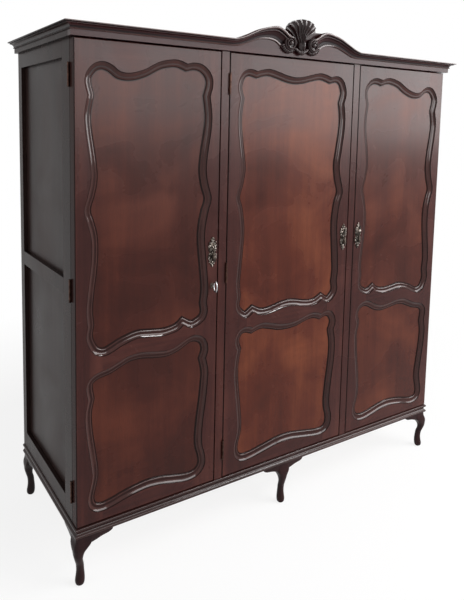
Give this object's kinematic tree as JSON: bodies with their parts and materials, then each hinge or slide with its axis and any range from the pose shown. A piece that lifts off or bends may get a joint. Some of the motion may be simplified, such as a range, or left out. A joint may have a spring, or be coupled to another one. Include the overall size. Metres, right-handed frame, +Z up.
{
  "type": "wardrobe",
  "caption": "Tall wooden wardrobe with hinged panelled doors, swan-neck cornice with carved shell, drop handles, lock and key, on cabriole legs.",
  "frame": {"origin": "on the floor, at the middle of the overall box", "axes": "+X to the right as seen from the front, +Y to the back, +Z up; the doors face -Y"},
  "size_m": [1.726, 0.6446, 1.836],
  "materials": {
    "door_frame_wood": "satin polish",
    "door_panel_wood": "satin polish, figured veneer",
    "case_wood": "satin polish",
    "side_panel_wood": "satin polish",
    "dark_moulding": "gloss polish",
    "carving_wood": "gloss polish",
    "leg_wood": "gloss polish",
    "interior_wood": "plain",
    "back_board": "plain",
    "hinge_metal": "aged",
    "antique_brass": "antique",
    "key_steel": "bright",
    "lock_metal": "satin",
    "rail_metal": "satin"
  },
  "bodies": {
    "carcass": {"back_panels": "back_board", "base_frame": "interior_wood", "base_moulding": "dark_moulding", "carcass_hinge_leaves": "hinge_metal", "cornice_front": "dark_moulding", "cornice_returns": "dark_moulding", "crest_board": "dark_moulding", "fixed_shelves": "interior_wood", "floor_board": "interior_wood", "front_legs": "leg_wood", "hanging_rails": "rail_metal", "hat_shelves": "interior_wood", "left_mullion": "case_wood", "left_partition": "interior_wood", "left_side_frame": "case_wood", "left_side_panels": "side_panel_wood", "leg_ears": "leg_wood", "rail_cleats": "interior_wood", "rear_legs": "leg_wood", "right_mullion": "case_wood", "right_partition": "interior_wood", "right_side_frame": "case_wood", "right_side_panels": "side_panel_wood", "shelf_battens": "interior_wood", "shell_carving": "carving_wood", "top_board": "interior_wood", "top_rail": "case_wood"},
    "left_door": {"left_door_hinge_leaves": "hinge_metal", "left_door_hinge_stile": "door_frame_wood", "left_door_lock_stile": "door_frame_wood", "left_door_panels": "door_panel_wood", "left_door_rails": "door_frame_wood", "left_handle_plate": "antique_brass", "lock_case": "lock_metal", "keyhole_escutcheon": "antique_brass"},
    "left_handle": {"left_handle_drop": "antique_brass"},
    "middle_door": {"middle_door_hinge_leaves": "hinge_metal", "middle_door_hinge_stile": "door_frame_wood", "middle_door_lock_stile": "door_frame_wood", "middle_door_panels": "door_panel_wood", "middle_door_rails": "door_frame_wood", "middle_handle_plate": "antique_brass"},
    "middle_handle": {"middle_handle_drop": "antique_brass"},
    "right_door": {"right_door_hinge_leaves": "hinge_metal", "right_door_hinge_stile": "door_frame_wood", "right_door_lock_stile": "door_frame_wood", "right_door_panels": "door_panel_wood", "right_door_rails": "door_frame_wood", "right_handle_plate": "antique_brass"},
    "right_handle": {"right_handle_drop": "antique_brass"},
    "key": {"key": "key_steel"},
    "lock_bolt": {"lock_bolt": "key_steel"}
  },
  "joints": [
    {"name": "left_door_hinge", "type": "hinge", "parent": "carcass", "child": "left_door", "pos_m": [-0.8299, -0.24085, 0.95], "axis": [0, 0, -1], "range_deg": [0, 170]},
    {"name": "middle_door_hinge", "type": "hinge", "parent": "carcass", "child": "middle_door", "pos_m": [-0.28785, -0.2799, 0.95], "axis": [0, 0, -1], "range_deg": [0, 115]},
    {"name": "right_door_hinge", "type": "hinge", "parent": "carcass", "child": "right_door", "pos_m": [0.8299, -0.24085, 0.95], "axis": [0, 0, 1], "range_deg": [0, 170]},
    {"name": "left_handle_swing", "type": "hinge", "parent": "left_door", "child": "left_handle", "pos_m": [-0.345, -0.286, 1.047], "axis": [-1, 0, 0], "range_deg": [0, 70]},
    {"name": "middle_handle_swing", "type": "hinge", "parent": "middle_door", "child": "middle_handle", "pos_m": [0.264, -0.286, 1.047], "axis": [-1, 0, 0], "range_deg": [0, 70]},
    {"name": "right_handle_swing", "type": "hinge", "parent": "right_door", "child": "right_handle", "pos_m": [0.345, -0.286, 1.047], "axis": [-1, 0, 0], "range_deg": [0, 70]},
    {"name": "key_turn", "type": "hinge", "parent": "left_door", "child": "key", "pos_m": [-0.344, -0.276, 0.912], "axis": [0, 1, 0], "range_deg": [0, 180]},
    {"name": "bolt_slide", "type": "slide", "parent": "left_door", "child": "lock_bolt", "axis": [1, 0, 0], "range_m": [0, 0.0075]}
  ],
  "couplings": [
    {"joint": "bolt_slide", "follows": "key_turn", "m_per_rad": 0.0023873}
  ]
}
